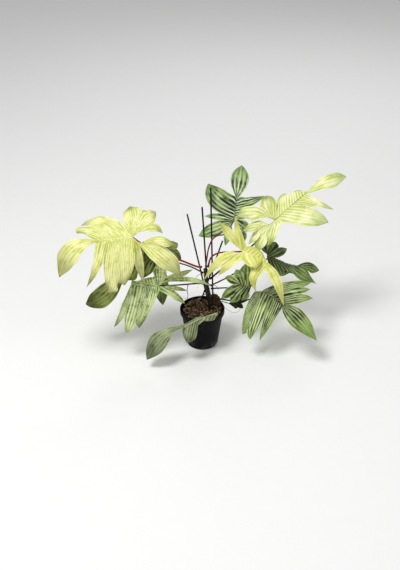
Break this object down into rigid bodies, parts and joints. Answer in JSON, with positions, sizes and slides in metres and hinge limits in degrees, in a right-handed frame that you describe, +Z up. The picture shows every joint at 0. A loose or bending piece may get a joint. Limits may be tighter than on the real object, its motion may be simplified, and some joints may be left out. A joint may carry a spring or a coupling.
{
  "type": "potted philodendron",
  "caption": "Bushy philodendron with deeply lobed yellow and green leaves on long stalks, staked with thin canes in a black nursery pot.",
  "frame": {"origin": "centre of the pot's flat base, level with the surface it stands on", "axes": "+Z up along the pot's axis, +X to the right along the plant's widest spread, +Y to the back"},
  "size_m": [0.7342, 0.3141, 0.4572],
  "materials": {
    "pot_plastic": "semi-matt black moulded plastic",
    "potting_mix": "dark bark and coir, matt and damp",
    "stem_skin": "brown and olive skin with ringed leaf scars",
    "root_skin": "dry, matt, brown",
    "cane_black": "thin round cane painted black",
    "blade_yellow": "pale yellow young leaf, waxy, satin",
    "blade_green": "mottled mid green leaf, waxy, satin",
    "blade_dark": "dark green leaf, waxy, satin",
    "blade_grey_green": "dull sage green old leaf",
    "stalk_red": "red-brown leaf stalk, slightly rough",
    "stalk_dark": "dark brown leaf stalk",
    "stalk_green": "green leaf stalk"
  },
  "bodies": {
    "root": {"pot": "pot_plastic", "soil": "potting_mix", "stem": "stem_skin", "root_mass": "root_skin", "cane_left": "cane_black", "cane_middle": "cane_black", "cane_tall": "cane_black", "cane_rear": "cane_black", "aerial_root_upper": "root_skin", "aerial_root_left": "root_skin", "aerial_root_right": "root_skin", "hanging_root": "root_skin", "surface_root": "root_skin", "blade_upper_left": "blade_yellow", "stalk_upper_left": "stalk_red", "blade_upper_right": "blade_yellow", "stalk_upper_right": "stalk_dark", "blade_rolled": "blade_yellow", "stalk_rolled": "stalk_red", "blade_lower_left": "blade_green", "stalk_lower_left": "stalk_dark", "blade_top": "blade_green", "stalk_top": "stalk_red", "blade_lower_right": "blade_green", "stalk_lower_right": "stalk_dark", "blade_low_middle": "blade_green", "stalk_low_middle": "stalk_dark", "blade_rear_left": "blade_dark", "stalk_rear_left": "stalk_dark", "blade_rear_right": "blade_dark", "stalk_rear_right": "stalk_dark", "blade_small": "blade_dark", "stalk_small": "stalk_green", "blade_old": "blade_grey_green", "stalk_old": "stalk_green"}
  },
  "joints": []
}
